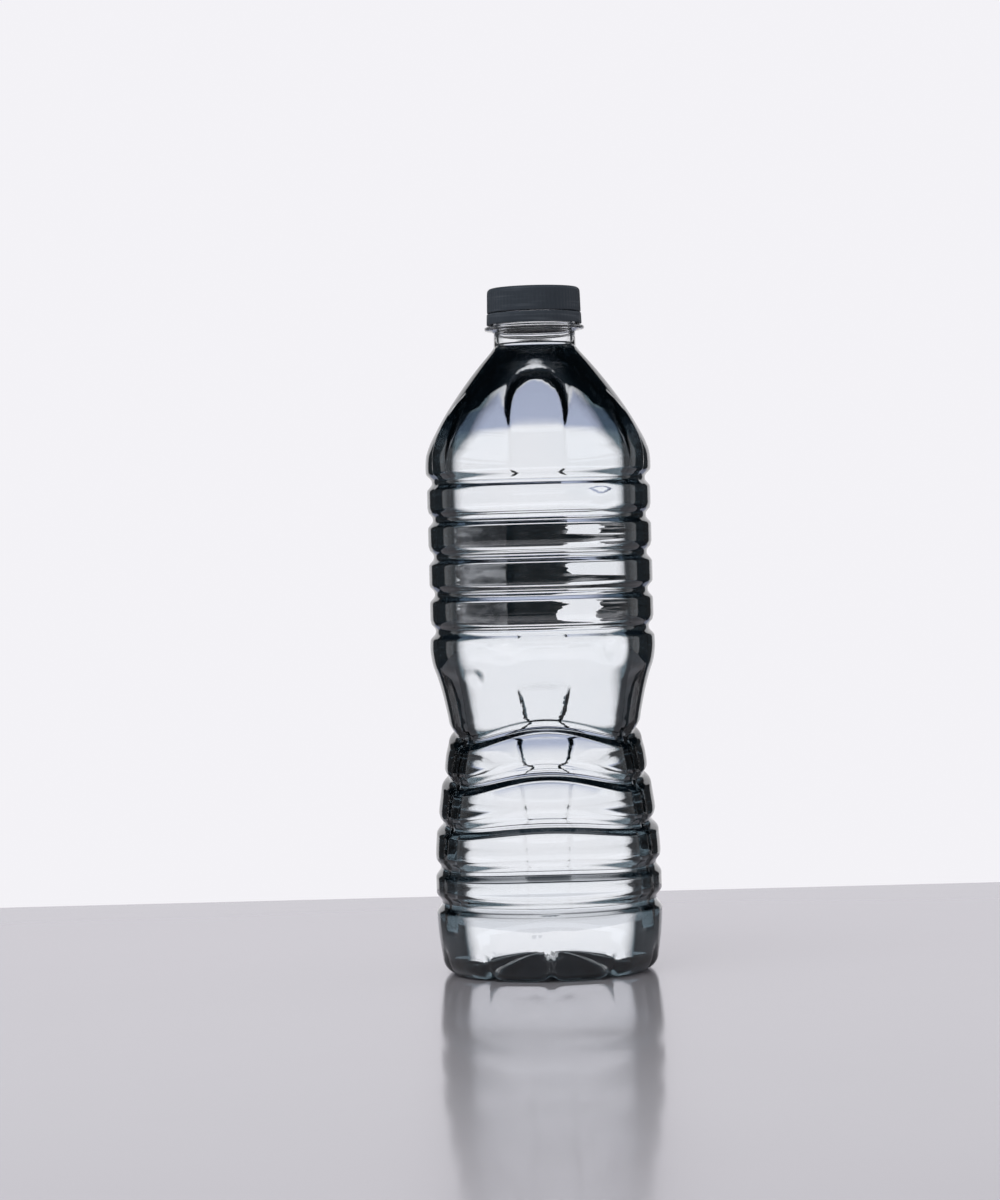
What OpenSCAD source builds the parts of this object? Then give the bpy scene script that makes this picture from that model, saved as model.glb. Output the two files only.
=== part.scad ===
// Half-litre water bottle: a blown PET bottle with a ring-grooved grip panel,
// a narrow waist and wavy ribs below it, closed by a screw cap with a tamper
// band. The bottle stands on z = 0 with its axis on Z, and its front faces -Y.

/* [Bottle body] */
// Diameter of the grip panel between its ring grooves
panel_d = 66.2; // [56:0.1:80]
// How far the shoulder and the hip stand out from the grip panel
edge_swell = 0.3; // [0:0.05:1]
// How far the foot stands out from the grip panel
foot_swell = 0.35; // [0:0.05:1]
// How far the waist draws in from the grip panel, before its groove is cut
waist_draw = 4.9; // [2:0.1:7]
// How far the heel tucks in under the foot
heel_tuck = 1.45; // [0.5:0.05:3]
// Width of the flat under each foot
foot_w = 1.9; // [1:0.1:3]
// Radius of the rounded heel
heel_r = 4.8; // [3.5:0.1:6]
// Thickness of the side wall, measured level
wall = 0.4; // [0.3:0.05:0.6]
// Thickness of the base
base_wall = 0.7; // [0.5:0.05:1]
// Height of the push-up in the middle of the base
push_up = 7; // [5:0.1:9]
// Number of flutes that part the feet
flute_count = 10; // [5:1:12]
// Depth of each flute
flute_depth = 1.6; // [0.5:0.1:2.2]

/* [Heights] */
// Height of the lowest rib groove
foot_h = 21; // [18:0.1:26]
// Rise from each rib groove to the next one up
rib_gaps = [11, 12.5, 14, 13.2]; // [9:0.1:18]
// Rise from the waist groove to the hip
waist_to_hip = 24.8; // [18:0.1:32]
// Rise from the hip to the lowest ring groove
hip_to_ring = 4.8; // [3.5:0.1:8]
// Number of ring grooves in the grip panel
ring_count = 5; // [3:1:6]
// Rise from one ring groove to the next
ring_pitch = 11; // [8:0.1:14]
// Rise from the top ring groove to the foot of the shoulder
ring_to_shoulder = 4.7; // [3.5:0.1:8]
// Height of the shoulder
shoulder_h = 34.4; // [28:0.1:42]

/* [Grooves] */
// Depth of a ring groove
ring_depth = 1.6; // [0.8:0.1:2.2]
// Half the width of a ring groove
ring_half = 2.1; // [1.4:0.1:3]
// Depth of the waist groove and of the deepest rib grooves
rib_depth = 2.1; // [1:0.1:2.6]
// Half the width of a rib groove
rib_half = 2.7; // [2:0.1:3.4]
// How far the waist wave rises and falls from its middle
wave_rise = 2.3; // [0:0.1:3]
// Number of waves round the bottle
wave_count = 3; // [2:1:4]

/* [Neck] */
// Outer diameter of the neck
neck_d = 24.2; // [20:0.1:32]
// Thickness of the neck's wall
neck_wall = 1.3; // [1:0.05:1.8]
// How far the support ring stands out from the neck
ring_reach = 2.7; // [2.3:0.1:4]
// Thickness of the support ring
ring_t = 1.3; // [1:0.1:2]
// Height of the support ring's underside above the shoulder
ring_rise = 5.3; // [4:0.1:6]
// How far the bead that holds the tamper band stands out from the neck
bead_rise = 0.75; // [0.6:0.05:1]
// How far the thread stands out from the neck
thread_rise = 0.9; // [0.7:0.05:1.2]
// Rise of the thread in one turn
lead = 2.6; // [2.4:0.05:3.2]
// Turns of thread on the neck
neck_turns = 1; // [0.8:0.05:1.2]
// Height of the plain lip above the top end of the thread
lip_rise = 0.85; // [0.7:0.05:1.5]

/* [Cap] */
// Thickness of the cap's skirt
cap_wall = 0.6; // [0.5:0.05:1.2]
// Height of the plain skirt below the cap's thread
skirt_plain = 0.1; // [0.05:0.05:1]
// Thickness of the cap's top
cap_top_t = 1.2; // [0.9:0.1:1.3]
// Thickness of the sealing liner
liner_t = 0.68; // [0.4:0.02:1]
// Radius of the cap's top edge
cap_edge_r = 1.2; // [0.6:0.1:1.4]
// Number of grip ribs round the skirt
knurl_count = 72; // [36:6:90]
// Depth between the grip ribs
knurl_depth = 0.12; // [0.05:0.01:0.2]
// Thickness of the tamper band
band_wall = 0.9; // [0.7:0.05:1.3]
// Height of the tamper band
band_h = 3.3; // [3:0.1:4.5]
// Number of break bridges between the skirt and the band
bridge_count = 8; // [6:1:12]

/* [Clearances] */
// Gap between the cap's inside wall and the crest of the neck's thread
thread_gap = 0.3; // [0.25:0.05:0.4]
// Gap between the tamper band and the bead that it is held by
bead_gap = 0.35; // [0.25:0.05:0.5]
// Gap between the liner's rim and the cap's inside wall
rim_gap = 0.5; // [0.3:0.05:0.8]
// Gap between the liner and the underside of the cap's top
liner_gap = 0.02; // [0.01:0.01:0.05]
// Gap between the two threads' bearing flanks
flank_gap = 0.2; // [0.1:0.05:0.3]
// Gap between the support ring and the tamper band above it
band_gap = 0.5; // [0.3:0.1:0.8]
// Gap between the skirt and the tamper band
score_gap = 0.3; // [0.2:0.05:0.4]

/* [Contents] */
// Height of the water's surface above the foot of the neck
water_rise = 1.5; // [0:0.1:4]
// Width of the strip of label left on the back
label_w = 24; // [6:0.5:40]
// Thickness of the label film
label_t = 0.1; // [0.05:0.01:0.2]

/* [Hidden] */

SIDES = 50;            // flat facets round the blown body
skin_gap = 0.05;       // between the water or the label and the wall
waist_flat = 2.3;      // plain stretch of wall above the middle of the waist groove
rib_count = len(rib_gaps) + 1;

// heights, from the table up
function rib_z(k) = k == 0 ? foot_h : rib_z(k - 1) + rib_gaps[k - 1];
waist_z = rib_z(rib_count - 1);
hip_z = waist_z + waist_to_hip;
low_ring_z = hip_z + hip_to_ring;
top_ring_z = low_ring_z + (ring_count - 1) * ring_pitch;
shoulder_z = top_ring_z + ring_to_shoulder;
neck_z = shoulder_z + shoulder_h;
support_z = neck_z + ring_rise;
band_z = support_z + ring_t + band_gap;
skirt_z = band_z + band_h + score_gap;
// the cap's thread bears on the underside of the neck's thread
ridge_w = 1.3;         // width of a thread's ridge at its root
crest_w = 0.65;        // width of a thread's ridge at its crest
cap_thread_z = skirt_z + skirt_plain + ridge_w / 2;
thread_z = cap_thread_z + (ridge_w + crest_w) / 2 + flank_gap * 0.6;
lip_z = thread_z + lead * neck_turns + lip_rise;
under_z = lip_z + liner_t + liner_gap;
cap_top_z = under_z + cap_top_t;
water_z = neck_z + water_rise;
belly_z = foot_h - 5;
belly_top_z = foot_h + 10;

// radii
panel_r = panel_d / 2;
shoulder_edge_r = panel_r + edge_swell;
foot_r = panel_r + foot_swell;
waist_r = panel_r - waist_draw;
heel_side_r = foot_r - heel_tuck;
stand_r = heel_side_r - heel_r;
neck_r = neck_d / 2;
bore_r = neck_r - neck_wall;
ring_r = neck_r + ring_reach;
thread_r = neck_r + thread_rise;
bead_r = neck_r + bead_rise;
cap_in_r = thread_r + thread_gap;
cap_r = cap_in_r + cap_wall;
band_in_r = bead_r + bead_gap;
band_r = band_in_r + band_wall;

// ---- the blown body's outline ----------------------------------------------

function shoulder_r(z) = let (t = (neck_z - z) / shoulder_h)
    neck_r + (shoulder_edge_r - neck_r) * sin(90 * pow(t, 1.1));
function ease(a, b, t) = a + (b - a) * (1 - cos(180 * t)) / 2;
function lower_r(z) = let (t = (waist_z + waist_flat - z) / (waist_z - belly_top_z))
    waist_r + (foot_r - waist_r) * sin(90 * pow(max(0, min(1, t)), 1.25));
function belly_r(z) = let (t = (belly_z - z) / (belly_z - heel_r))
    foot_r - (foot_r - heel_side_r) * pow(t, 2);

// outer radius of the body at a height, before any groove
function body_r(z) =
    z >= shoulder_z ? shoulder_r(z) :
    z >= low_ring_z ? panel_r :
    z >= hip_z ? ease(shoulder_edge_r, panel_r, (z - hip_z) / hip_to_ring) :
    z >= waist_z + waist_flat ?
        ease(waist_r, shoulder_edge_r, (z - waist_z - waist_flat) / (waist_to_hip - waist_flat)) :
    z >= belly_z ? lower_r(z) : belly_r(z);

// the waves fade from the waist down to the level groove at the foot
function wave_at(z) = wave_rise * min(1, max(0, (z - foot_h) / (rib_z(3) - foot_h)));
function rib_depth_at(k) = rib_depth * (0.65 + 0.35 * k / (rib_count - 1));

// each row of the body is [height, outer radius, wave height]
function plain_row(z) = [z, body_r(z), 0];
function groove_rows(z, depth, half, wave) = [
    [z + half, body_r(z + half), wave],
    [z, body_r(z) - depth, wave],
    [z - half, body_r(z - half), wave]];

shoulder_rows = [for (t = [0.07, 0.2, 0.36, 0.52, 0.68, 0.84, 1]) plain_row(neck_z - t * shoulder_h)];
ring_rows = [for (k = [ring_count - 1:-1:0])
    each groove_rows(low_ring_z + k * ring_pitch, ring_depth, ring_half, 0)];
hip_rows = [for (t = [0, 0.3, 0.55, 0.8]) plain_row(hip_z - t * (waist_to_hip - rib_half - wave_rise))];
rib_rows = [for (k = [rib_count - 1:-1:0]) let (z = rib_z(k), below = k > 0 ? rib_z(k - 1) : belly_z,
        mid = k > 0 ? (z + below) / 2 : belly_z)
    each concat(groove_rows(z, rib_depth_at(k), rib_half, wave_at(z)),
        [[mid, body_r(mid), wave_at(mid)]])];
belly_rows = [plain_row((belly_z + heel_r) / 2)];
side_rows = concat(shoulder_rows, ring_rows, hip_rows, rib_rows, belly_rows);

function angle(j) = 360 * j / SIDES;
function at(r, j, z) = [r * sin(angle(j)), -r * cos(angle(j)), z];
function ring_at(r, z) = [for (j = [0:SIDES - 1]) at(r, j, z)];
function side_ring(row, inset) = [for (j = [0:SIDES - 1])
    at(row[1] - inset, j, row[0] + row[2] * cos(wave_count * angle(j)))];

// flutes lift the heel and the standing ring between the feet
function flute(j) = flute_depth * pow(max(0, cos(flute_count * angle(j))), 1.2);
function heel_ring(a, inset, floor_z) = [for (j = [0:SIDES - 1])
    at(stand_r + (heel_r - inset) * cos(a), j,
        heel_r - (heel_r - floor_z) * sin(a) + flute(j) * sin(a))];
function base_ring(t, floor_z) = [for (j = [0:SIDES - 1])
    at((stand_r - foot_w) * (1 - t), j,
        floor_z + push_up * pow(sin(90 * t), 1.3) + flute(j) * (1 - t) * (1 - t))];

// every ring of the body's surface, moved in by a level inset, from the shoulder to the middle
function body_rings(inset, floor_z) = concat(
    [for (row = side_rows) side_ring(row, inset + thicker(row[0], inset))],
    [for (a = [0, 35, 65, 90]) heel_ring(a, inset, floor_z)],
    [for (t = [0, 0.34, 0.67]) base_ring(t, floor_z)]);
// the wall thickens towards the neck
function thicker(z, inset) = inset == 0 ? 0 : 0.5 * max(0, (z - shoulder_z) / shoulder_h - 0.4);

// the faces of a skin through a list of rings, and of the fans that close it at a point
function band_faces(n) = [for (i = [0:n - 2], j = [0:SIDES - 1])
    let (k = (j + 1) % SIDES, a = i * SIDES, b = a + SIDES)
        each [[a + j, a + k, b + k], [a + j, b + k, b + j]]];
// the same with each four-sided facet split the other way
function cross_faces(n) = [for (i = [0:n - 2], j = [0:SIDES - 1])
    let (k = (j + 1) % SIDES, a = i * SIDES, b = a + SIDES)
        each [[a + j, a + k, b + j], [a + k, b + k, b + j]]];
function fan(tip, row, turned) = [for (j = [0:SIDES - 1]) let (k = (j + 1) % SIDES)
    turned ? [tip, row * SIDES + k, row * SIDES + j] : [tip, row * SIDES + j, row * SIDES + k]];
function reversed(list) = [for (i = [len(list) - 1:-1:0]) list[i]];
function flat_list(rings) = [for (ring = rings) each ring];
function middle_z(floor_z) = floor_z + push_up;

module blown_shell() {
    plug_out = neck_r - 0.3;
    plug_in = bore_r + 0.4;
    outside = concat(
        [ring_at(plug_out, neck_z + 1.6), ring_at(plug_out, neck_z), ring_at(neck_r + 0.05, neck_z)],
        body_rings(0, 0));
    inside = concat(
        [ring_at(plug_in, neck_z + 1.6), ring_at(plug_in, neck_z - 0.6)],
        body_rings(wall, base_wall));
    rings = concat(reversed(inside), outside);
    n = len(rings);
    tips = [[0, 0, middle_z(base_wall)], [0, 0, middle_z(0)]];
    polyhedron(
        points = concat(flat_list(rings), tips),
        faces = concat(band_faces(n), fan(n * SIDES, 0, true), fan(n * SIDES + 1, n - 1, false)),
        convexity = 12);
}

// ---- threads ----------------------------------------------------------------

// a ridge that climbs one lead each turn; its root stands at root_r and its crest at crest_r
module ridge(root_r, crest_r, root_w, crest_w, z0, from, to) {
    step = 10;
    steps = round((to - from) / step);
    function grow(i) = min(1, min(i, steps - i) / 3 + 0.04);
    function ridge_ring(i) = let (a = from + (to - from) * i / steps, z = z0 + lead * a / 360,
            r = root_r + (crest_r - root_r) * grow(i))
        [[root_r, -root_w / 2], [r, -crest_w / 2], [r, crest_w / 2], [root_r, root_w / 2]];
    function ridge_points(i) = let (a = from + (to - from) * i / steps, z = z0 + lead * a / 360)
        [for (p = ridge_ring(i)) [p[0] * cos(a), p[0] * sin(a), z + p[1]]];
    points = [for (i = [0:steps]) each ridge_points(i)];
    sides = [for (i = [0:steps - 1], s = [0:3]) let (t = (s + 1) % 4)
        each [[i * 4 + s, i * 4 + 4 + s, i * 4 + 4 + t], [i * 4 + s, i * 4 + 4 + t, i * 4 + t]]];
    ends = [[0, 1, 2], [0, 2, 3], [steps * 4, steps * 4 + 2, steps * 4 + 1],
        [steps * 4, steps * 4 + 3, steps * 4 + 2]];
    all_faces = concat(sides, ends);
    polyhedron(points = points,
        faces = crest_r < root_r ? all_faces : [for (f = all_faces) [f[2], f[1], f[0]]], convexity = 6);
}

bury = 0.25;             // how deep a ridge is rooted in its wall
crest_gap = 0.25;        // between a cap's ridge or hook and the neck

// ---- parts ------------------------------------------------------------------

module neck_finish() {
    bevel = 0.35;
    bead_z = skirt_z - score_gap - 0.35;
    rotate_extrude($fn = 96) union() {
        polygon([[bore_r, neck_z - 0.1], [neck_r, neck_z - 0.1], [neck_r, lip_z - bevel],
            [neck_r - bevel, lip_z], [bore_r + bevel, lip_z], [bore_r, lip_z - bevel]]);
        polygon([[neck_r - bury, support_z - 0.3], [neck_r, support_z - 0.3],
            [ring_r - 0.3, support_z], [ring_r, support_z + 0.3],
            [ring_r, support_z + ring_t - 0.3], [ring_r - 0.3, support_z + ring_t],
            [neck_r - bury, support_z + ring_t]]);
        polygon([[neck_r - bury, bead_z - 0.45], [bead_r, bead_z - 0.3],
            [bead_r, bead_z], [neck_r, bead_z + 0.45], [neck_r - bury, bead_z + 0.45]]);
    }
}

module bottle_body() {
    color([0.86, 0.9, 0.93, 0.4]) union() {
        blown_shell();
        neck_finish();
        ridge(neck_r - bury, thread_r, ridge_w, crest_w, thread_z, 0, 360 * neck_turns);
    }
}

// the ribbed skirt, cut to a rounded top edge
module cap_outline() {
    r = cap_r;
    intersection() {
        translate([0, 0, skirt_z]) linear_extrude(cap_top_z - skirt_z + 1)
            polygon([for (i = [0:2 * knurl_count - 1]) let (a = 180 * i / knurl_count,
                    rib_r = r - (i % 2) * knurl_depth) [rib_r * cos(a), rib_r * sin(a)]]);
        rotate_extrude($fn = 96) polygon(concat(
            [[0, skirt_z - 1], [r + 1, skirt_z - 1], [r + 1, cap_top_z - 4 * cap_edge_r]],
            [for (a = [20:14:90]) [r - cap_edge_r * (1 - cos(a)), cap_top_z - cap_edge_r * (1 - sin(a))]],
            [[0, cap_top_z]]));
    }
}

module cap() {
    color([0.05, 0.055, 0.065]) union() {
        difference() {
            cap_outline();
            translate([0, 0, skirt_z - 1]) cylinder(h = under_z - skirt_z + 1, r = cap_in_r, $fn = 96);
        }
        ridge(cap_in_r + bury, neck_r + crest_gap, ridge_w, crest_w, cap_thread_z, 15, 355);
        for (i = [0:bridge_count - 1]) rotate([0, 0, 360 * (i + 0.5) / bridge_count])
            translate([cap_in_r + 0.1, -0.4, skirt_z - score_gap + 0.02])
                cube([0.3, 0.8, score_gap + 0.2]);
    }
}

// soft disc that seals on the lip; the cap turns on it as it is wound down
module cap_liner() {
    color([0.85, 0.86, 0.86]) translate([0, 0, lip_z]) cylinder(h = liner_t, r = cap_in_r - rim_gap, $fn = 96);
}

module tamper_band() {
    hook_r = neck_r + crest_gap;
    color([0.05, 0.055, 0.065]) rotate_extrude($fn = 96) polygon([
        [band_in_r, band_z + 0.15], [band_r - 0.2, band_z], [band_r, band_z + 0.2],
        [band_r, band_z + band_h - 0.15], [band_r - 0.15, band_z + band_h], [band_in_r, band_z + band_h],
        [band_in_r, band_z + 2], [hook_r + 0.2, band_z + 1.75], [hook_r, band_z + 1.5],
        [hook_r, band_z + 1.2], [band_in_r, band_z + 0.6]]);
}

module water() {
    neck_fit = bore_r - 3 * skin_gap;
    rings = concat([ring_at(neck_fit, water_z), ring_at(neck_fit, neck_z - 0.7)],
        body_rings(wall + skin_gap, base_wall + skin_gap));
    n = len(rings);
    // its facets are split as those of the wall's inner face, so the two lie parallel
    color([0.6, 0.75, 0.85, 0.5]) polyhedron(
        points = concat(flat_list(rings), [[0, 0, water_z], [0, 0, middle_z(base_wall + skin_gap)]]),
        faces = concat(cross_faces(n), fan(n * SIDES, 0, true), fan(n * SIDES + 1, n - 1, false)),
        convexity = 12);
}

// thin film on the back of the middle bands of the grip panel
module label_remnant() {
    in_r = panel_r + skin_gap;
    half_angle = asin(label_w / panel_d);
    patch_h = ring_pitch - 2 * ring_half - 0.6;
    color([0.12, 0.14, 0.2]) for (k = [1:ring_count - 2])
        translate([0, 0, low_ring_z + (k - 0.5) * ring_pitch - patch_h / 2])
            rotate([0, 0, 90 - half_angle]) rotate_extrude(angle = 2 * half_angle, $fn = 96)
                translate([in_r, 0]) square([label_t, patch_h]);
}

bottle_body();
cap();
cap_liner();
tamper_band();
water();
label_remnant();
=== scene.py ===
import math
import bpy
import bmesh
import numpy as np
from mathutils import Matrix, Vector


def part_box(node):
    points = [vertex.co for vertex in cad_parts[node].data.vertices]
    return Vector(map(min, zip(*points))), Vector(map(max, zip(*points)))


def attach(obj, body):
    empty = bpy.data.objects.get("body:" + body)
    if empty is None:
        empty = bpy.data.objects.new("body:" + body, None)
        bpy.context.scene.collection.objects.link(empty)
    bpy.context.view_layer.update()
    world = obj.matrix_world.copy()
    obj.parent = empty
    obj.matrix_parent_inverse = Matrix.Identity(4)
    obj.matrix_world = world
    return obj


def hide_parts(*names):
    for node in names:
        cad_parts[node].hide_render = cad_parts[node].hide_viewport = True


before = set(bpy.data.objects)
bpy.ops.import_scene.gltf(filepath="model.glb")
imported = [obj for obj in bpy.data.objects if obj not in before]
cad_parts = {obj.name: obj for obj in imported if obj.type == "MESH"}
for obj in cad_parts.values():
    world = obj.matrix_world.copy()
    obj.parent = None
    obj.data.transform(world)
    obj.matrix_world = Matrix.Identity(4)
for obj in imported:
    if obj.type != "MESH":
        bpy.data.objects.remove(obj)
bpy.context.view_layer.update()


# ---- Camera -------------------------------------------------------------------
# A long lens at the height of the bottle's grip panel, held a little off level,
# with the bottle right of the middle of the frame.

camera_data = bpy.data.cameras.new("camera")
camera = bpy.data.objects.new("camera", camera_data)
bpy.context.scene.collection.objects.link(camera)
bpy.context.scene.camera = camera

camera_distance = 0.960
camera_height = 0.1247
camera_data.sensor_width = 36
camera_data.lens = 97
camera_turn = math.radians(0.735)
camera_dip = math.radians(-0.868)
camera_roll = math.radians(-1.55)
camera.location = (0, -camera_distance, camera_height)
camera.rotation_mode = "QUATERNION"
facing = (Matrix.Rotation(camera_turn, 3, "Z") @ Matrix.Rotation(camera_dip, 3, "X")
          @ Matrix.Rotation(math.pi / 2, 3, "X") @ Matrix.Rotation(camera_roll, 3, "Z"))
camera.rotation_quaternion = facing.to_quaternion()


# ---- Studio: bright screens and a pale table -------------------------------------
# A clear bottle is lit from behind: bright screens stand round it with dark gaps
# between them, and their edges draw the bottle's outline. The table is pale and
# polished, and ends a short way behind the bottle. Seen through the bottle it is a painted glow, with painted
# shade near the bottle.

def new_material(name):
    material = bpy.data.materials.new(name)
    material.use_nodes = True
    material.node_tree.nodes.clear()
    return material


def add_node(tree, kind, settings=None, **inputs):
    """A node with its settings, and its inputs set or linked by socket name."""
    node = tree.nodes.new(kind)
    for key, value in (settings or {}).items():
        setattr(node, key, value)
    for key, value in inputs.items():
        socket = node.inputs[int(key[1:]) if key[0] == "i" and key[1:].isdigit() else key.replace("_", " ")]
        if isinstance(value, bpy.types.NodeSocket):
            tree.links.new(value, socket)
        else:
            socket.default_value = value
    return node


def math_node(tree, operation, a, b=0.0):
    return add_node(tree, "ShaderNodeMath", {"operation": operation}, i0=a, i1=b).outputs[0]


def rise(tree, value, low, high, to_low=0.0, to_high=1.0):
    """A smooth rise from one value to another."""
    node = add_node(tree, "ShaderNodeMapRange", {"interpolation_type": "SMOOTHSTEP"},
                    i0=value, i1=low, i2=high, i3=to_low, i4=to_high)
    return node.outputs[0]


def mix_colour(tree, factor, a, b):
    node = tree.nodes.new("ShaderNodeMix")
    node.data_type = "RGBA"
    for index, value in ((0, factor), (6, a), (7, b)):
        if isinstance(value, bpy.types.NodeSocket):
            tree.links.new(value, node.inputs[index])
        else:
            node.inputs[index].default_value = value
    return node.outputs[2]


def studio_world():
    world = bpy.data.worlds.new("studio")
    bpy.context.scene.world = world
    world.use_nodes = True
    tree = world.node_tree
    tree.nodes.clear()
    backdrop = (0.90, 0.89, 0.925, 1)
    white = (1.02, 1.01, 1.04, 1)
    low_grey = (0.50, 0.54, 0.70, 1)
    dark = (0.008, 0.013, 0.018, 1)
    gap_share = 0.05
    direction = add_node(tree, "ShaderNodeTexCoord").outputs["Generated"]
    parts = add_node(tree, "ShaderNodeSeparateXYZ", i0=direction)
    azimuth = math_node(tree, "ARCTAN2", parts.outputs[0], parts.outputs[1])
    # slope of a line of sight against the flat screen that it meets
    level = math_node(tree, "MAXIMUM", math_node(tree, "ABSOLUTE", parts.outputs[0]),
                      math_node(tree, "ABSOLUTE", parts.outputs[1]))
    slope = math_node(tree, "DIVIDE", parts.outputs[2], math_node(tree, "MAXIMUM", level, 0.001))
    quarter = math_node(tree, "COSINE", math_node(tree, "MULTIPLY", azimuth, 4.0))
    screen = rise(tree, quarter, -0.42, -0.26, gap_share, 1.0)
    top = rise(tree, slope, 0.53, 0.47)
    foot = rise(tree, slope, -0.61, -0.595)
    low_part = math_node(tree, "MULTIPLY", rise(tree, slope, -0.17, -0.27),
                         rise(tree, slope, -0.585, -0.52))
    screen_colour = mix_colour(tree, low_part, white, low_grey)
    lit = math_node(tree, "MULTIPLY", math_node(tree, "MULTIPLY", screen, top), foot)
    seen_through = mix_colour(tree, lit, dark, screen_colour)
    # in reflections the room in front is dim
    behind = rise(tree, parts.outputs[1], -0.2, 0.6, 0.05, 0.9)
    mirrored = mix_colour(tree, math_node(tree, "MULTIPLY", lit, behind), dark, screen_colour)
    path = add_node(tree, "ShaderNodeLightPath")
    reflected = math_node(tree, "ADD", path.outputs["Glossy Depth"], path.outputs["Diffuse Depth"])
    reflected = math_node(tree, "GREATER_THAN", reflected, 0.5)
    by_glass = mix_colour(tree, reflected, seen_through, mirrored)
    # matt surfaces are lit evenly from all round
    spread = math_node(tree, "GREATER_THAN", path.outputs["Diffuse Depth"], 0.5)
    by_glass = mix_colour(tree, spread, by_glass, (0.62, 0.61, 0.64, 1))
    colour = mix_colour(tree, path.outputs["Is Camera Ray"], by_glass, backdrop)
    background = add_node(tree, "ShaderNodeBackground", Color=colour, Strength=1.0)
    add_node(tree, "ShaderNodeOutputWorld", Surface=background.outputs[0])


studio_world()
bpy.context.scene.view_settings.view_transform = "Standard"

top_light = bpy.data.lights.new("top_light", "AREA")
top_light.shape = "RECTANGLE"
top_light.size = 0.7
top_light.size_y = 0.5
top_light.energy = 5
top_light_holder = bpy.data.objects.new("top_light", top_light)
top_light_holder.location = (-0.35, -0.45, 1.1)
towards_bottle = Vector((0, 0, 0.1)) - top_light_holder.location
top_light_holder.rotation_euler = towards_bottle.to_track_quat("-Z", "Y").to_euler()
bpy.context.scene.collection.objects.link(top_light_holder)
top_light_holder.visible_transmission = False
top_light_holder.visible_glossy = False


def table():
    far_edge = 0.215
    bevel = 0.004
    half_width = 2.2
    near = -1.6
    outline = [(near, 0), (far_edge - bevel, 0), (far_edge - 0.3 * bevel, -0.3 * bevel),
               (far_edge, -bevel), (far_edge, -0.03)]
    mesh = bpy.data.meshes.new("table")
    points = [(x, y, z) for x in (-half_width, half_width) for y, z in outline]
    count = len(outline)
    mesh.from_pydata(points, [], [(i, i + count, i + count + 1, i + 1) for i in range(count - 1)])
    piece = bpy.data.objects.new("table", mesh)
    bpy.context.scene.collection.objects.link(piece)
    material = new_material("polished_pale_top_with_painted_glow")
    tree = material.node_tree
    place = add_node(tree, "ShaderNodeTexCoord").outputs["Object"]
    cloud = add_node(tree, "ShaderNodeTexNoise", Vector=place, Scale=9.0, Detail=4.0)
    colour = mix_colour(tree, cloud.outputs[0], (0.52, 0.51, 0.54, 1), (0.56, 0.55, 0.58, 1))
    smear = add_node(tree, "ShaderNodeTexNoise", Vector=place, Scale=40.0, Detail=3.0)
    lacquer = add_node(tree, "ShaderNodeBsdfPrincipled", Base_Color=colour)
    lacquer.inputs["Roughness"].default_value = 0.35
    lacquer.inputs["Specular IOR Level"].default_value = 0.2
    mirror = add_node(tree, "ShaderNodeBsdfGlossy", Color=(0.72, 0.71, 0.735, 1),
                      Roughness=rise(tree, smear.outputs[0], 0.3, 0.7, 0.075, 0.11))
    grazing = add_node(tree, "ShaderNodeLayerWeight", Blend=0.5).outputs["Facing"]
    shader = add_node(tree, "ShaderNodeMixShader", i0=rise(tree, grazing, 0.76, 0.90, 0.02, 0.74),
                      i1=lacquer.outputs[0], i2=mirror.outputs[0])
    # painted light: seen through the bottle, the top is a glowing pale colour, with painted shade where it is
    # looked down on near the bottle
    from_axis = add_node(tree, "ShaderNodeVectorMath", {"operation": "LENGTH"}, i0=place).outputs[1]
    looked_down_on = rise(tree, grazing, 0.82, 0.64)
    painted_shade_near_bottle = math_node(tree, "MULTIPLY", looked_down_on, rise(tree, from_axis, 0.32, 0.26))
    # painted glow and painted shade: the emitted colour that stands in for the lit top and its shade near the
    # bottle
    seen = mix_colour(tree, painted_shade_near_bottle, (0.80, 0.80, 0.84, 1), (0.014, 0.022, 0.030, 1))
    painted_glow = add_node(tree, "ShaderNodeEmission", Color=seen)
    path = add_node(tree, "ShaderNodeLightPath")
    both = add_node(tree, "ShaderNodeMixShader", i0=path.outputs["Is Transmission Ray"],
                    i1=shader.outputs[0], i2=painted_glow.outputs[0])
    add_node(tree, "ShaderNodeOutputMaterial", Surface=both.outputs[0])
    mesh.materials.append(material)


table()


# ---- Bottle body ---------------------------------------------------------------
# One piece of clear PET, blown in a mould from a thick preform. The neck keeps the
# preform's thick wall; below it the wall is thin, with ring grooves in the grip
# panel, wavy ribs under the waist, three upright pads and ten small feet.

body_low, body_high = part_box("bottle_body")
MM = 0.001
lip_height = body_high.z / MM
neck_root = lip_height - 15.8
neck_radius = 12.1
bore_radius = 10.8
wall = 0.36
stand_radius = 27.4
heel_radius = 4.7
foot_width = 1.8
push_up = 7.0
flute_count = 10
flute_step = 360 / flute_count
thread_lead = 2.6
pad_angles = (60, 180, 300)
ring_pitch = 11.0
ring_grooves = [101.4 + ring_pitch * k for k in range(5)]
# height and depth of each rib groove, the waist's last
rib_grooves = [(21.1, 1.6), (31.6, 1.45), (44.6, 1.65), (58.3, 1.8), (71.6, 2.15)]


def smooth(t):
    t = np.clip(t, 0, 1)
    return t * t * (3 - 2 * t)


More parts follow.
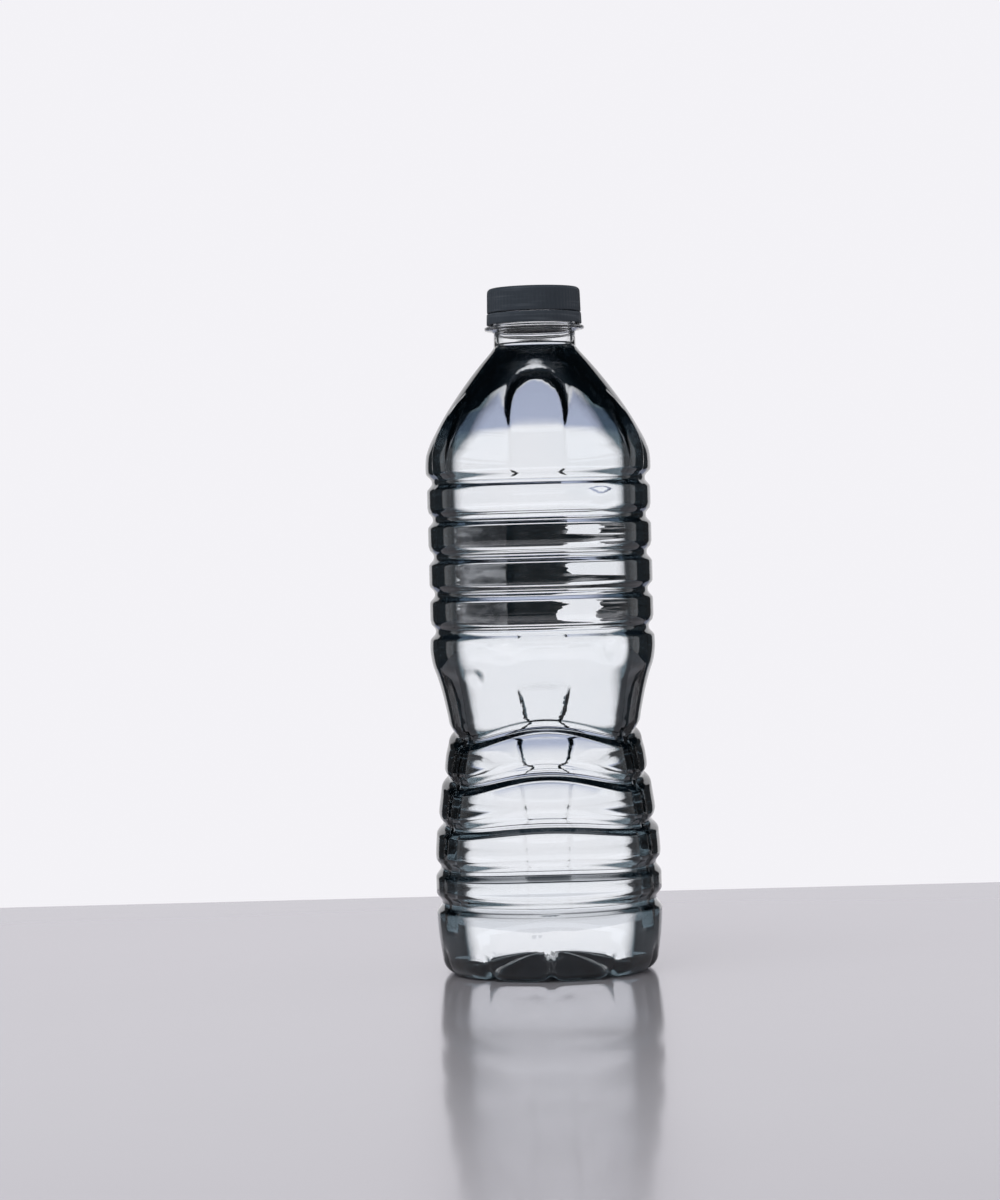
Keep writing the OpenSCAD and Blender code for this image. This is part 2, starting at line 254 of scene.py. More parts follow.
def curve_through(stations):
    """A smooth curve through a few stations, with no overshoot between them."""
    x = np.array([s[0] for s in stations], float)
    y = np.array([s[1] for s in stations], float)
    step = np.diff(x)
    slope = np.diff(y) / step
    tangent = np.zeros(len(x))
    same_way = slope[:-1] * slope[1:] > 0
    tangent[1:-1][same_way] = (2 * slope[:-1] * slope[1:] / (slope[:-1] + slope[1:] + 1e-12))[same_way]
    tangent[0], tangent[-1] = slope[0], slope[-1]

    def value(at):
        i = np.clip(np.searchsorted(x, at) - 1, 0, len(step) - 1)
        t = (at - x[i]) / step[i]
        return ((1 + 2 * t) * (1 - t) ** 2 * y[i] + t * (1 - t) ** 2 * step[i] * tangent[i]
                + t * t * (3 - 2 * t) * y[i + 1] + t * t * (t - 1) * step[i] * tangent[i + 1])
    return value


# radius of the side wall at a few heights, before the grooves
side_radius = curve_through([
    (4.7, 32.1), (8, 32.6), (12, 33.1), (17, 33.4), (28, 33.5), (35, 33.4), (41, 33.0), (48, 32.15),
    (54, 31.3), (61, 30.1), (65, 29.5), (69, 28.6), (74.5, 28.5), (80, 29.45), (84, 30.4), (88, 31.6),
    (92, 32.9), (96.5, 33.4), (101.5, 33.15), (145, 33.15), (149.5, 33.42), (152.5, 33.25),
    (156, 32.2), (160, 30.2), (165, 27.35), (170, 24.0), (175, 20.35), (180, 16.3), (183, 13.65),
    (184.6, 12.35), (186.5, neck_radius)])
# how far the rib grooves rise and fall round the bottle
wave_height = curve_through([(4, 0), (21, 0), (31.6, 0.5), (44.6, 1.2), (58.3, 2.3), (71.6, 2.5), (77, 2.0),
                             (88, 0), (200, 0)])


def groove(height, middle, half, flat=0.12):
    return 1 - smooth((np.abs(height - middle) / half - flat) / (1 - flat))


def side_profile(height):
    radius = side_radius(height)
    for middle in ring_grooves:
        radius = radius - 1.5 * groove(height, middle, 2.7)
    for middle, depth in rib_grooves:
        radius = radius - depth * groove(height, middle, 3.0)
    return radius


def row_heights():
    """Heights of the rows of the side wall: close together in the grooves."""
    rows = list(np.arange(neck_root, 177, -1.2))
    rows += list(np.arange(177, 161, -0.6))
    rows += list(np.arange(161, 150, -1.1))
    marks = sorted(ring_grooves + [middle for middle, depth in rib_grooves], reverse=True)
    height = 150.0
    while height > heel_radius + 0.4:
        rows.append(height)
        nearest = min(abs(height - mark) for mark in marks)
        height -= 0.55 if nearest < 3.2 or 85 < height < 92 else 1.4
    return np.array(rows)


def body_profile():
    """Rows of (radius, height, wave, pad depth, flute depth), from the neck's root to the base's middle."""
    rows = [(float(side_profile(height)), height, float(wave_height(height)), pad_depth(height),
             flute_depth_on_side(height)) for height in row_heights()]
    for a in np.radians(np.arange(0, 90.1, 7.5)):
        rows.append((stand_radius + heel_radius * math.cos(a), heel_radius * (1 - math.sin(a)), 0, 0,
                     0.75 + 0.75 * math.sin(a)))
    inner = stand_radius - foot_width
    rows.append((inner, 0.0, 0, 0, 1.5))
    for t in np.linspace(0.06, 0.985, 20):
        # the push-up is a dome with a small dimple in its middle
        height = push_up * math.sin(math.pi / 2 * t) ** 1.25 - 0.35 * max(0, t - 0.8) / 0.2
        rows.append((inner * (1 - t), height, 0, 0, 1.5 * (1 - t) ** 0.8))
    return np.array(rows)


# how deep the upright pads are pressed in; in the shoulder they stand out instead
pad_depth_at = curve_through([(14, 0), (17, 0.4), (30, 0.7), (60, 1.2), (70, 1.6), (86, 1.7), (91, 0.2),
                              (95, 0.1), (148, -0.1), (154, -0.6), (160, -1.1), (171, -1.1), (175, 0)])


def pad_depth(height):
    return float(pad_depth_at(height)) if 15 < height < 174.5 else 0.0


def flute_depth_on_side(height):
    return 0.75 * float(smooth((8.5 - height) / 3.5))


def round_angles():
    """Angles round the bottle, 0 at the front: closer together at the pads' edges and the flutes."""
    angles = set(np.arange(0, 360, 3.6).round(2))
    for middle in pad_angles:
        for edge in (-7.2, 7.2):
            angles |= {round(middle + edge + d, 2) for d in (-1.8, -1.2, -0.6, 0, 0.6, 1.2, 1.8)}
    for k in range(flute_count):
        angles |= {round((k * flute_step + d) % 360, 2) for d in (-1.8, 0, 1.8)}
    kept = []
    for angle in sorted(a % 360 for a in angles):
        if not kept or angle - kept[-1] > 0.5:
            kept.append(angle)
    return np.radians(np.array(kept))


around = round_angles()


def angle_from(middle):
    return np.abs((np.degrees(around) - middle + 180) % 360 - 180)


def pad_shape(height):
    """1 inside a pad, 0 outside: a tall arch tops it in the shoulder, and it fades out above the waist."""
    half = 4.25 - 0.75 * float(smooth((88 - height) / 10))
    up = max(0.0, height - 155.5) * 0.30
    edge = 0.50 + 0.25 * float(smooth((height - 150) / 9))
    radius = float(side_radius(height))
    shape = np.zeros(len(around))
    for middle in pad_angles:
        across = radius * np.sin(np.radians(np.minimum(angle_from(middle), 90)))
        distance = np.hypot(across, up) - half
        inside = 1 - smooth((distance + edge) / (2 * edge))
        if 77 < height < 96:
            inside = inside * (1 - smooth((height + 0.55 * across - 91.0) / 14.0 + 0.5))
        shape = np.maximum(shape, inside)
    return shape


# small dents from handling: angle, height, size and depth
dents = [(33, 139.5, 2.6, 0.8), (340, 95.0, 2.2, 0.7), (36, 95.5, 3.4, 0.9), (322, 88.0, 2.4, 0.5),
         (148, 120.0, 3.0, 0.4), (232, 136.0, 3.2, 0.5), (262, 92.0, 3.0, 0.6), (118, 46.0, 2.6, 0.5)]


def flute_shape(radius):
    """1 in the middle of each flute, 0 beside it; a flute keeps its width until close to the middle."""
    half = np.degrees(2.3 / max(radius, 9.0))
    off = np.min([angle_from(k * flute_step) for k in range(flute_count)], axis=0)
    return 1 - smooth(off / (half * 1.25))


def profile_normals(rows):
    along = np.gradient(rows[:, :2], axis=0)
    normal = np.stack([-along[:, 1], along[:, 0]], 1)
    return normal / (np.linalg.norm(normal, axis=1, keepdims=True) + 1e-9)


body_rows = body_profile()
body_normals = profile_normals(body_rows)


def wall_at(height):
    """The wall thickens towards the neck and a little in the base."""
    neck_share = smooth((height - 174) / 10)
    return wall + (neck_radius - bore_radius - wall) * neck_share + 0.5 * smooth((6 - height) / 6)


def ring(radius, height):
    return np.stack([radius * np.sin(around), -radius * np.cos(around), height + 0 * around], 1)


def body_rings(inset):
    """Rings of the body's skin, moved inwards through the wall by a function of height."""
    rings = []
    for (radius, height, wave, pad, flute), normal in zip(body_rows, body_normals):
        depth = pad * pad_shape(height) if pad else 0 * around
        if flute:
            depth = depth + flute * flute_shape(radius)
        for turn, middle, size, press in dents:
            across = radius * np.radians(np.minimum(angle_from(turn), 90))
            depth = depth + press * np.exp(-(across ** 2 + (height - middle) ** 2) / size ** 2)
        depth = depth + inset(height)
        level = height - normal[1] * depth + wave * np.cos(3 * around)
        rings.append(ring(radius - normal[0] * depth, level))
    return rings


def face_outwards(mesh):
    """Turn the faces of a closed mesh outwards."""
    build = bmesh.new()
    build.from_mesh(mesh)
    bmesh.ops.recalc_face_normals(build, faces=build.faces)
    build.to_mesh(mesh)
    build.free()


def skin_mesh(name, rings):
    """A closed skin through rings of points, with a point at each end."""
    sides = len(rings[0])
    points = np.concatenate(rings) * MM
    first = np.arange(len(rings) - 1)[:, None] * sides + np.arange(sides)[None, :]
    after = np.arange(len(rings) - 1)[:, None] * sides + (np.arange(sides)[None, :] + 1) % sides
    quads = np.stack([first, after, after + sides, first + sides], 2).reshape(-1, 4)
    tips = [rings[0].mean(0) * MM, rings[-1].mean(0) * MM]
    count = len(points)
    points = np.concatenate([points, tips])
    turn = np.arange(sides)
    fan_a = np.stack([np.full(sides, count), (turn + 1) % sides, turn], 1)
    last = (len(rings) - 1) * sides
    fan_b = np.stack([np.full(sides, count + 1), last + turn, last + (turn + 1) % sides], 1)
    mesh = bpy.data.meshes.new(name)
    mesh.from_pydata(points.tolist(), [], quads.tolist() + fan_a.tolist() + fan_b.tolist())
    mesh.validate()
    face_outwards(mesh)
    mesh.shade_smooth()
    piece = bpy.data.objects.new(name, mesh)
    bpy.context.scene.collection.objects.link(piece)
    return piece


def neck_rings():
    """Rings from the inner edge of the lip, over it and down the outside of the neck to its root."""
    lip = [(bore_radius, lip_height - 0.4), (bore_radius + 0.12, lip_height - 0.12),
           (bore_radius + 0.4, lip_height), (neck_radius - 0.35, lip_height),
           (neck_radius - 0.1, lip_height - 0.1), (neck_radius, lip_height - 0.35)]
    rings = [ring(radius, height) for radius, height in lip]
    turns = 1.0
    thread_rise = 0.9
    start = lip_height - 0.85 - thread_lead * turns
    turned = (np.degrees(around) - 90) % 360
    for height in np.arange(lip_height - 0.5, 194.95, -0.16):
        ridge = np.zeros(len(around))
        for k in (0, 1):
            climbed = turned + 360 * k
            middle = start + thread_lead * climbed / 360
            ends = smooth(climbed / 26) * smooth((360 * turns - climbed) / 26)
            crest = 1 - smooth((np.abs(height - middle) - 0.3) / 0.36)
            ridge = np.maximum(ridge, thread_rise * ends * crest)
        rings.append(ring(neck_radius + ridge, height))
    bead = [(12.1, 194.85), (12.5, 194.7), (12.8, 194.5), (12.85, 194.2), (12.5, 194.05), (12.15, 193.95)]
    flange = [(12.1, 193.0), (12.1, 191.5), (12.2, 191.15), (12.6, 191.02), (14.2, 190.95), (14.6, 190.88),
              (14.78, 190.65), (14.8, 190.35), (14.72, 190.02), (14.5, 189.82), (14.0, 189.74),
              (12.7, 189.5), (12.25, 189.25), (12.12, 188.9), (neck_radius, 187.5), (neck_radius, 186.0),
              (12.14, 185.2)]
    rings += [ring(radius, height) for radius, height in bead + flange]
    return rings


def clear_plastic_marks():
    """Node group: the small unevenness and handling marks of blown PET."""
    group = bpy.data.node_groups.new("blown_plastic_marks", "ShaderNodeTree")
    group.interface.new_socket("Ripple size", in_out="INPUT", socket_type="NodeSocketFloat")
    group.interface.new_socket("Scuffs", in_out="INPUT", socket_type="NodeSocketFloat")
    group.interface.new_socket("Height", in_out="OUTPUT", socket_type="NodeSocketFloat")
    group.interface.new_socket("Roughness", in_out="OUTPUT", socket_type="NodeSocketFloat")
    group.interface.new_socket("Tint", in_out="OUTPUT", socket_type="NodeSocketColor")
    given = group.nodes.new("NodeGroupInput")
    place = add_node(group, "ShaderNodeTexCoord").outputs["Object"]
    ripple = add_node(group, "ShaderNodeTexNoise", Vector=place, Scale=given.outputs[0], Detail=2.0)
    stretch = add_node(group, "ShaderNodeMapping", Vector=place, Scale=(1.0, 1.0, 0.18))
    streak = add_node(group, "ShaderNodeTexNoise", Vector=stretch.outputs[0], Scale=260.0, Detail=3.0)
    fine = add_node(group, "ShaderNodeTexNoise", Vector=place, Scale=900.0, Detail=2.0)
    height = math_node(group, "ADD", ripple.outputs[0], math_node(group, "MULTIPLY", streak.outputs[0], 0.25))
    scuff = rise(group, fine.outputs[0], 0.62, 0.75)
    rough = math_node(group, "MULTIPLY", scuff, given.outputs[1])
    patch = rise(group, ripple.outputs[0], 0.35, 0.7)
    tint = mix_colour(group, patch, (0.985, 0.992, 0.998, 1), (0.965, 0.98, 0.99, 1))
    put_out = group.nodes.new("NodeGroupOutput")
    group.links.new(height, put_out.inputs[0])
    group.links.new(math_node(group, "ADD", rough, 0.012), put_out.inputs[1])
    group.links.new(tint, put_out.inputs[2])
    return group


def clear_plastic():
    material = new_material("clear_pet")
    tree = material.node_tree
    marks = add_node(tree, "ShaderNodeGroup", {"node_tree": clear_plastic_marks()})
    marks.inputs[0].default_value = 55
    marks.inputs[1].default_value = 0.05
    bump = add_node(tree, "ShaderNodeBump", Strength=0.05, Distance=0.0004, Height=marks.outputs[0])
    place = add_node(tree, "ShaderNodeTexCoord").outputs["Object"]
    # painted shade: seen edge on, the wall's colour darkens, partly the real darkening of a long path through
    # the plastic, mostly painted shade
    edge_on = add_node(tree, "ShaderNodeLayerWeight", Blend=0.5).outputs["Facing"]
    height = add_node(tree, "ShaderNodeSeparateXYZ", i0=place).outputs[2]
    below_neck = rise(tree, height, 0.1855, 0.1830)
    painted_edge_shade = math_node(tree, "MULTIPLY", rise(tree, edge_on, 0.25, 0.37), below_neck)
    # the dark blue-grey that the painted edge shade mixes in
    colour = mix_colour(tree, painted_edge_shade, marks.outputs[2], (0.020, 0.036, 0.046, 1))
    shader = add_node(tree, "ShaderNodeBsdfPrincipled", Base_Color=colour, Roughness=marks.outputs[1],
                      Normal=bump.outputs[0])
    shader.inputs["IOR"].default_value = 1.575
    shader.inputs["Transmission Weight"].default_value = 1.0
    add_node(tree, "ShaderNodeOutputMaterial", Surface=shader.outputs[0])
    return material


inside_rings = body_rings(wall_at)
bore_rings = [ring(bore_radius, height) for height in (186.5, 190.0, 194.0, 198.0, 199.6)]
outside_rings = body_rings(lambda height: 0.0)
bottle = skin_mesh("bottle", inside_rings[::-1] + bore_rings + neck_rings() + outside_rings)
bottle.data.materials.append(clear_plastic())
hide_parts("bottle_body")
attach(bottle, "bottle")


# ---- Water ----------------------------------------------------------------------
# Still water fills the bottle to the foot of the neck, where it climbs the wall a
# little all round. It touches the inside of the wall everywhere.

def water_piece():
    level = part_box("water")[1].z / MM
    touch = 0.03
    radius = bore_radius + touch
    surface = [ring(radius * t, level - 0.25 + 0.3 * math.exp(-radius * (1 - t) / 0.7))
               for t in (0.02, 0.3, 0.6, 0.8, 0.9, 0.95, 0.98, 1.0)]
    neck_part = [ring(radius, level - 0.2)]
    sides = body_rings(lambda height: wall_at(height) - touch)
    piece = skin_mesh("water_fill", surface + neck_part + sides)
    material = new_material("still_water")
    tree = material.node_tree
    place = add_node(tree, "ShaderNodeTexCoord").outputs["Object"]
    drift = add_node(tree, "ShaderNodeTexNoise", Vector=place, Scale=14.0, Detail=2.0)
    tint = mix_colour(tree, drift.outputs[0], (0.975, 0.99, 1.0, 1), (0.985, 0.995, 1.0, 1))
    shader = add_node(tree, "ShaderNodeBsdfPrincipled", Base_Color=tint)
    shader.inputs["Roughness"].default_value = 0.0
    shader.inputs["IOR"].default_value = 1.333
    shader.inputs["Transmission Weight"].default_value = 1.0
    add_node(tree, "ShaderNodeOutputMaterial", Surface=shader.outputs[0])
    piece.data.materials.append(material)
    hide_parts("water")
    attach(piece, "bottle")


water_piece()


# ---- Label remnant ---------------------------------------------------------------
# What is left of a wrap-round label on the back of the bottle: three torn patches
# and two scraps of dark printed film, clouded with dry glue at one side.

film_half_height = 3.2
back_radius = 33.0
# the three lowest bands of the grip panel
patch_middles = [middle + ring_pitch / 2 for middle in ring_grooves[:3]]


def torn_edge(seed, length, rough):
    """A torn line: a sum of waves and small steps that is the same each time."""
    draw = np.random.default_rng(seed)
    at = np.linspace(0, 1, length)
    line = sum(rough / (k + 1) * np.sin(2 * math.pi * ((k + 1) * 1.7 * at + draw.random())) for k in range(7))
    return line + rough * 0.25 * draw.standard_normal(length)


def film_patch(name, middle, left, right, seed, low, high):
    """Thin film on the back wall; left and right give each edge's place at a share of the height."""
    rows, columns = 20, 72
    lift, thickness = 0.02, 0.06
    tear = 0.3
    share = np.linspace(low, high, rows)
    left_edge = left(share) + torn_edge(seed, rows, tear)
    right_edge = np.maximum(right(share) + torn_edge(seed + 1, rows, tear), left_edge + 0.4)
    rings = []
    for side in (0, 1):
        for i in range(rows):
            across = np.linspace(left_edge[i], right_edge[i], columns)
            level = middle + film_half_height * share[i]
            turn = math.pi - across / back_radius
            press = pad_depth(level) * (np.abs(across) < 4.2)
            radius = side_profile(level) + lift + thickness * side - press
            rings.append(np.stack([radius * np.sin(turn), -radius * np.cos(turn), level + 0 * turn], 1))
    count = rows * columns
    faces = []
    for i in range(rows - 1):
        for j in range(columns - 1):
            a = i * columns + j
            faces.append((a, a + 1, a + columns + 1, a + columns))
            faces.append((a + count, a + count + columns, a + count + columns + 1, a + count + 1))
    rim = (list(range(columns)) + [i * columns + columns - 1 for i in range(1, rows)]
           + [(rows - 1) * columns + j for j in range(columns - 2, -1, -1)]
           + [i * columns for i in range(rows - 2, 0, -1)])
    for a, b in zip(rim, rim[1:] + rim[:1]):
        faces.append((a, a + count, b + count, b))
    mesh = bpy.data.meshes.new(name)
    mesh.from_pydata((np.concatenate(rings) * MM).tolist(), [], faces)
    face_outwards(mesh)
    piece = bpy.data.objects.new(name, mesh)
    bpy.context.scene.collection.objects.link(piece)
    return piece


def printed_film():
    """Dark print, cloudy with glue on its left part and worn thin on its right part."""
    material = new_material("torn_printed_film")
    tree = material.node_tree
    place = add_node(tree, "ShaderNodeTexCoord").outputs["Object"]
    cloud = add_node(tree, "ShaderNodeTexNoise", Vector=place, Scale=150.0, Detail=7.0, Roughness=0.62)
    flat = add_node(tree, "ShaderNodeMapping", Vector=place, Scale=(0.35, 1.0, 2.2))
    streak = add_node(tree, "ShaderNodeTexNoise", Vector=flat.outputs[0], Scale=420.0, Detail=5.0,
                      Roughness=0.6)
    fine = add_node(tree, "ShaderNodeTexNoise", Vector=place, Scale=900.0, Detail=4.0)
    across = add_node(tree, "ShaderNodeSeparateXYZ", i0=place).outputs[0]
    wander = math_node(tree, "ADD", across, math_node(tree, "MULTIPLY", cloud.outputs[0], 0.0012))
    glued = rise(tree, wander, -0.0046, -0.0050)
    worn = math_node(tree, "MULTIPLY", rise(tree, wander, 0.0032, 0.0050),
                     rise(tree, streak.outputs[0], 0.44, 0.62))
    ink = mix_colour(tree, rise(tree, streak.outputs[0], 0.4, 0.75),
                     (0.020, 0.060, 0.085, 1), (0.060, 0.110, 0.140, 1))
    glue = mix_colour(tree, rise(tree, cloud.outputs[0], 0.36, 0.66),
                      (0.12, 0.15, 0.18, 1), (0.75, 0.80, 0.86, 1))
    colour = mix_colour(tree, glued, ink, glue)
    colour = mix_colour(tree, worn, colour, (0.20, 0.23, 0.27, 1))
    cover = math_node(tree, "SUBTRACT", 1.0, math_node(tree, "MULTIPLY", worn, 0.55))
    thin_glue = math_node(tree, "MULTIPLY", glued, rise(tree, cloud.outputs[0], 0.42, 0.7, 0.14, 0.66))
    cover = math_node(tree, "SUBTRACT", cover, thin_glue)
    bump = add_node(tree, "ShaderNodeBump", Strength=0.4, Distance=0.0002, Height=fine.outputs[0])
    shader = add_node(tree, "ShaderNodeBsdfPrincipled", Base_Color=colour, Alpha=cover,
                      Normal=bump.outputs[0], Roughness=rise(tree, cloud.outputs[0], 0.3, 0.7, 0.55, 0.75))
    shader.inputs["Specular IOR Level"].default_value = 0.15
    add_node(tree, "ShaderNodeOutputMaterial", Surface=shader.outputs[0])
    return material


film_material = printed_film()


first_seed = 40
# name, band, stations of the left and right edges, and the lowest and highest share of the band covered
film_plan = [
    ("label_film_upper", 2, [(-1, -12.6), (1, -12.6)],
     [(-1, 12.9), (-0.05, 12.6), (0.15, 4.4), (1, 3.8)], -1.0, 1.0),
    ("label_film_middle", 1, [(-1, -12.6), (1, -12.4)],
     [(-1, 13.0), (-0.45, 12.7), (-0.3, 4.6), (1, 4.2)], -1.0, 1.0),
    ("label_film_lower", 0, [(-1, -12.4), (1, -12.6)],
     [(-1, 2.0), (-0.1, 2.6), (0.5, 5.5), (1, 8.5)], -1.0, 1.0),
    ("label_scrap_upper", 2, [(0.1, 9.2), (0.95, 10.2)], [(0.1, 12.9), (0.95, 12.7)], 0.1, 0.95),
    ("label_scrap_lower", 0, [(-0.9, 8.6), (0.9, 9.6)], [(-0.9, 12.6), (0.9, 13.0)], -0.9, 0.9),
]
for k, (name, band, left, right, low, high) in enumerate(film_plan):
    film = film_patch(name, patch_middles[band], curve_through(left), curve_through(right),
                      first_seed + 2 * k, low, high)
    film.data.materials.append(film_material)
    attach(film, "bottle")
    if name == "label_film_middle":
        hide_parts("label_remnant")


# ---- Screw cap -------------------------------------------------------------------
# Moulded black polyethylene with fine grip ribs, a rounded top edge and a thread
# inside. It screws on to the neck; the bridges on its foot held the tamper band.

cap_low, cap_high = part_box("cap")
rib_count = 72
# how far the bridges reach below the skirt
bridge_reach = 0.28


def spun_rings(outline, angles, ribs=0, rib_depth=0.0, ribbed=None):
    """Rings of an outline of (radius, height) spun about the axis, with grip ribs where ribbed says."""
    rings = []
    for radius, height in outline:
        share = ribbed(height) if ribbed and ribs else 0.0
        cut = rib_depth * share * (0.5 - 0.5 * np.cos(ribs * angles)) ** 1.6 if share else 0 * angles
        rings.append(np.stack([(radius - cut) * np.sin(angles), -(radius - cut) * np.cos(angles),
                               height + 0 * angles], 1))
    return rings


def black_plastic():
    material = new_material("moulded_black_polyethylene")
    tree = material.node_tree
    place = add_node(tree, "ShaderNodeTexCoord").outputs["Object"]
    cloud = add_node(tree, "ShaderNodeTexNoise", Vector=place, Scale=90.0, Detail=4.0)
    fine = add_node(tree, "ShaderNodeTexNoise", Vector=place, Scale=1600.0, Detail=3.0)
    level = add_node(tree, "ShaderNodeMapping", Vector=place, Scale=(0.04, 0.04, 1.0))
    turned = add_node(tree, "ShaderNodeTexNoise", Vector=level.outputs[0], Scale=1500.0, Detail=2.0)
    # lighter patches in thin horizontal bands round the cap
    lighter_band_patches = math_node(tree, "MULTIPLY", rise(tree, turned.outputs[0], 0.5, 0.75),
                    rise(tree, cloud.outputs[0], 0.4, 0.65))
    colour = mix_colour(tree, cloud.outputs[0], (0.030, 0.040, 0.052, 1), (0.040, 0.053, 0.067, 1))
    colour = mix_colour(tree, math_node(tree, "MULTIPLY", lighter_band_patches, 0.6), colour, (0.11, 0.13, 0.15, 1))
    height = math_node(tree, "ADD", fine.outputs[0], math_node(tree, "MULTIPLY", turned.outputs[0], 0.6))
    bump = add_node(tree, "ShaderNodeBump", Strength=0.35, Distance=0.0001, Height=height)
    shader = add_node(tree, "ShaderNodeBsdfPrincipled", Base_Color=colour, Normal=bump.outputs[0],
                      Roughness=rise(tree, cloud.outputs[0], 0.3, 0.7, 0.46, 0.60))
    add_node(tree, "ShaderNodeOutputMaterial", Surface=shader.outputs[0])
    return material


def screw_cap():
    foot, top = cap_low.z / MM + bridge_reach, cap_high.z / MM
    outer, inner, under = 13.9, 13.3, top - 1.2
    edge = 1.2
    angles = np.radians(np.arange(0, 360, 360 / (rib_count * 4)))
    outline = [(0.4, top), (5.0, top), (10.2, top), (outer - 1.75, top)]
    outline += [(outer - 0.16 - edge + edge * math.sin(a), top - edge + edge * math.cos(a))
                for a in np.radians((14, 28, 42, 56, 70, 84))]
    outline += [(outer - 0.13, top - 1.5), (outer - 0.1, top - 2.2)]
    outline += [(outer - 0.1 * share, foot + 0.55 + (top - 2.9 - foot) * share)
                for share in (1.0, 0.66, 0.33, 0.0)]
    outline += [(outer, foot + 0.12), (outer - 0.1, foot), (inner + 0.1, foot), (inner, foot + 0.12)]
    thread_foot = foot + 0.1 + 0.65
    outline_after = [(inner - 0.05, under - 0.15), (inner - 0.25, under), (9.0, under), (0.4, under)]

    def ribbed(height):
        return float(smooth((top - 1.0 - height) / 0.9)) * float(smooth((height - foot - 0.15) / 0.3)) + 1e-6

    rings = spun_rings(outline[:-2], angles, rib_count, 0.16, ribbed) + spun_rings(outline[-2:], angles)
    turned = (np.degrees(angles) - 90) % 360
    for height in np.arange(foot + 0.2, under - 0.4, 0.2):
        middle = thread_foot + thread_lead * turned / 360
        ends = smooth((turned - 15) / 26) * smooth((355 - turned) / 26)
        ridge = 0.95 * ends * (1 - smooth((np.abs(height - middle) - 0.3) / 0.36))
        rings.append(np.stack([(inner - ridge) * np.sin(angles), -(inner - ridge) * np.cos(angles),
                               height + 0 * angles], 1))
    rings += spun_rings(outline_after, angles)
    return skin_mesh("screw_cap", rings)


cap_material = black_plastic()
cap_piece = screw_cap()
cap_piece.data.materials.append(cap_material)
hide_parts("cap")
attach(cap_piece, "cap")


def break_bridges():
    """Eight small posts under the skirt, torn from the tamper band at their lower ends."""
    mesh = bpy.data.meshes.new("break_bridges")
    build = bmesh.new()
    bridge_count = 8
    inner, outer = 13.42, 13.72
    foot, skirt_foot = cap_low.z / MM, cap_low.z / MM + bridge_reach
    # height and half the width at a few levels: torn narrow at the foot, wide where it joins the skirt
    levels = ((foot + 0.01, 0.22), (foot + 0.1, 0.3), (skirt_foot - 0.02, 0.42), (skirt_foot + 0.06, 0.55))
    for k in range(bridge_count):
        turn = math.radians(360 * (k + 0.5) / bridge_count)
        corners = []
        for height, half in levels:
            layer = []
            for radius, side in ((inner, -1), (outer, -1), (outer, 1), (inner, 1)):
                spin = turn + side * half / radius
                place = (radius * math.cos(spin) * MM, radius * math.sin(spin) * MM, height * MM)
                layer.append(build.verts.new(place))
            corners.append(layer)
        for low, high in zip(corners, corners[1:]):
            for j in range(4):
                build.faces.new((low[j], low[(j + 1) % 4], high[(j + 1) % 4], high[j]))
        build.faces.new(corners[0][::-1])
        build.faces.new(corners[-1])
    bmesh.ops.recalc_face_normals(build, faces=build.faces)
    build.to_mesh(mesh)
    build.free()
    piece = bpy.data.objects.new("break_bridges", mesh)
    bpy.context.scene.collection.objects.link(piece)
    return piece


bridges = break_bridges()
bridges.data.materials.append(cap_material)
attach(bridges, "cap")


# ---- Tamper band ----------------------------------------------------------------
# The ring that stays on the neck when the cap is first opened. It is moulded with
# the cap, and an inner lip hooks it under the bead of the neck.

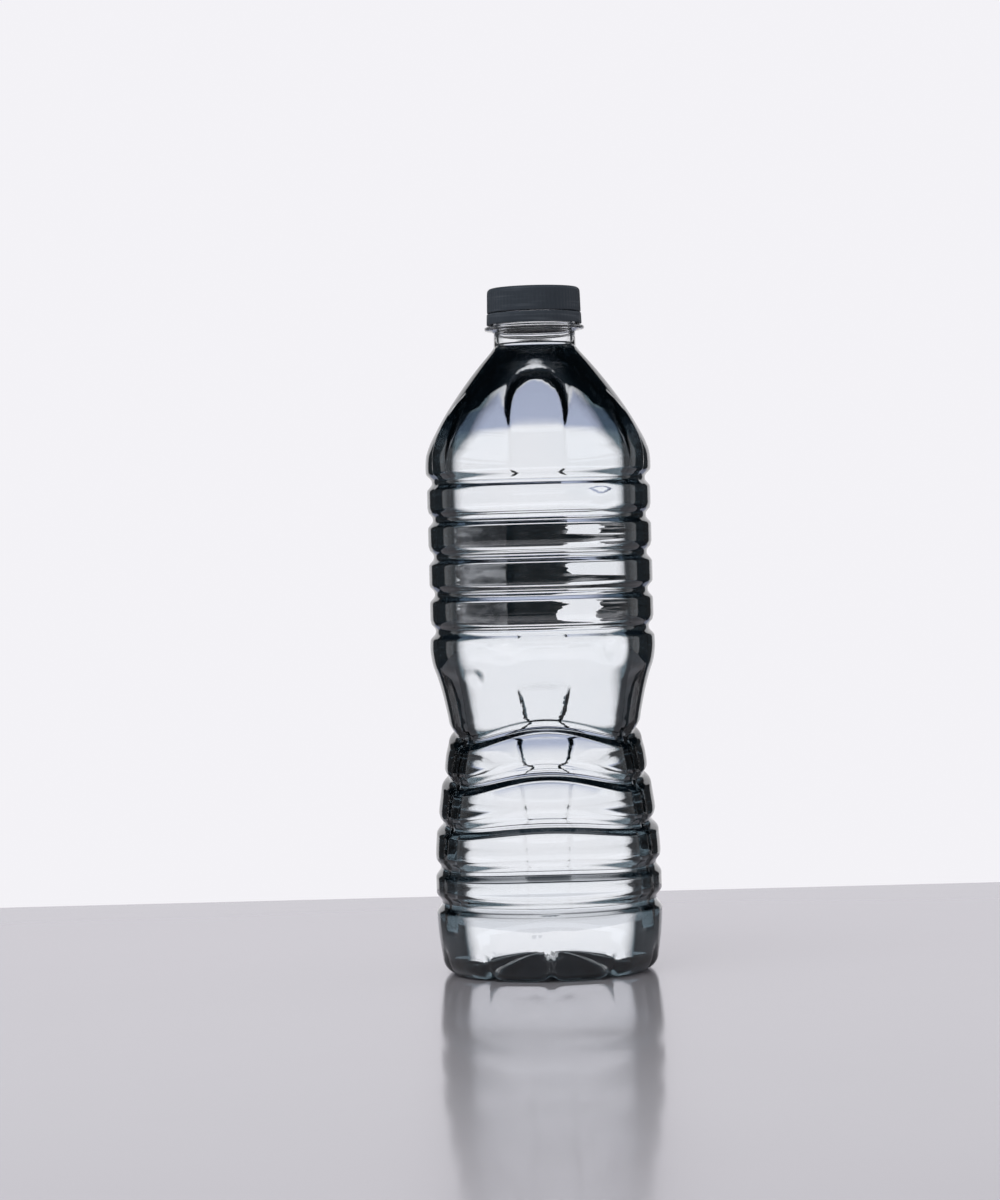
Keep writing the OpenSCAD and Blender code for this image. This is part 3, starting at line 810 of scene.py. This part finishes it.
def tamper_ring():
    low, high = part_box("tamper_band")[0].z / MM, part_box("tamper_band")[1].z / MM
    outer, inner, hook = 14.1, 13.2, 12.4
    angles = np.radians(np.arange(0, 360, 1.25))
    outline = [(inner + 0.12, low + 0.1), (outer - 0.3, low), (outer - 0.12, low + 0.05), (outer, low + 0.2),
               (outer - 0.02, low + 0.7), (outer - 0.05, high - 1.5), (outer - 0.09, high - 0.5),
               (outer - 0.12, high - 0.15), (outer - 0.24, high - 0.02), (inner + 0.12, high - 0.02),
               (inner, high - 0.12), (inner, low + 2.1), (inner - 0.1, low + 1.95), (hook + 0.25, low + 1.75),
               (hook, low + 1.5), (hook, low + 1.2), (inner - 0.15, low + 0.62), (inner, low + 0.45)]
    rings = spun_rings(outline, angles, rib_count, 0.05, lambda height: float(height > low + 0.3))
    sides = len(angles)
    points = np.concatenate(rings) * MM
    rows = len(rings)
    faces = [(i * sides + j, i * sides + (j + 1) % sides, (i + 1) % rows * sides + (j + 1) % sides,
              (i + 1) % rows * sides + j) for i in range(rows) for j in range(sides)]
    mesh = bpy.data.meshes.new("tamper_ring")
    mesh.from_pydata(points.tolist(), [], faces)
    face_outwards(mesh)
    mesh.shade_smooth()
    piece = bpy.data.objects.new("tamper_ring", mesh)
    bpy.context.scene.collection.objects.link(piece)
    return piece


band_piece = tamper_ring()
band_piece.data.materials.append(cap_material)
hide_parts("tamper_band")
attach(band_piece, "band")


# ---- Cap liner ------------------------------------------------------------------
# A disc of soft white foam that seals on the lip. The cap slides on it while it is
# wound down.

def liner_foam():
    material = new_material("soft_liner_foam")
    tree = material.node_tree
    place = add_node(tree, "ShaderNodeTexCoord").outputs["Object"]
    cell = add_node(tree, "ShaderNodeTexVoronoi", Vector=place, Scale=2200.0)
    cloud = add_node(tree, "ShaderNodeTexNoise", Vector=place, Scale=180.0, Detail=4.0)
    colour = mix_colour(tree, cloud.outputs[0], (0.70, 0.71, 0.70, 1), (0.82, 0.83, 0.82, 1))
    bump = add_node(tree, "ShaderNodeBump", Strength=0.3, Distance=0.0001, Height=cell.outputs[0])
    shader = add_node(tree, "ShaderNodeBsdfPrincipled", Base_Color=colour, Normal=bump.outputs[0],
                      Roughness=rise(tree, cloud.outputs[0], 0.3, 0.7, 0.6, 0.75))
    add_node(tree, "ShaderNodeOutputMaterial", Surface=shader.outputs[0])
    return material


liner_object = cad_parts["cap_liner"]
liner_object.data.materials.clear()
liner_object.data.materials.append(liner_foam())
